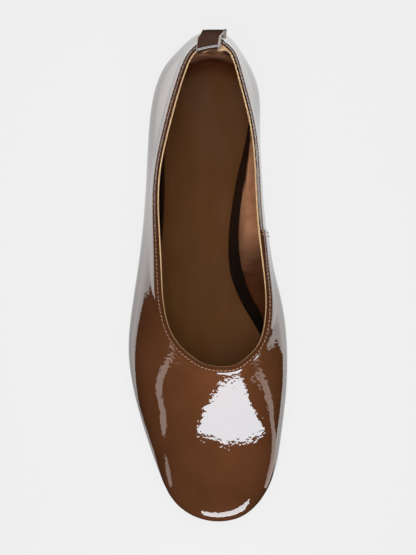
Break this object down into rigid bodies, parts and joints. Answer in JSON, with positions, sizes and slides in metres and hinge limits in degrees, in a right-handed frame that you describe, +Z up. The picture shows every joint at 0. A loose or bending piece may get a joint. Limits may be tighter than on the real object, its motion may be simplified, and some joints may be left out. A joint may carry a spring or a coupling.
{
  "type": "ballet flat shoe",
  "caption": "Low-cut round-toed ballet flat for the right foot: hollow patent leather upper on a thin sole, low heel block, insole, and a pull loop at the back of the collar.",
  "frame": {"origin": "on the floor under the middle of the shoe's bounding box", "axes": "+Z up; the toe points to -Y and the heel to +Y; +X is the inner (medial) side of the foot"},
  "size_m": [0.083, 0.256, 0.0702],
  "materials": {
    "patent_leather": "brown patent, mirror gloss with a fine crinkle",
    "insole_leather": "matt brown sock over a dark board",
    "sole_leather": "satin dark brown",
    "heel_block": "satin dark brown",
    "loop_leather": "brown patent, mirror gloss"
  },
  "bodies": {
    "root": {"upper": "patent_leather", "insole": "insole_leather", "outsole": "sole_leather", "heel": "heel_block", "pull_loop": "loop_leather"}
  },
  "joints": []
}
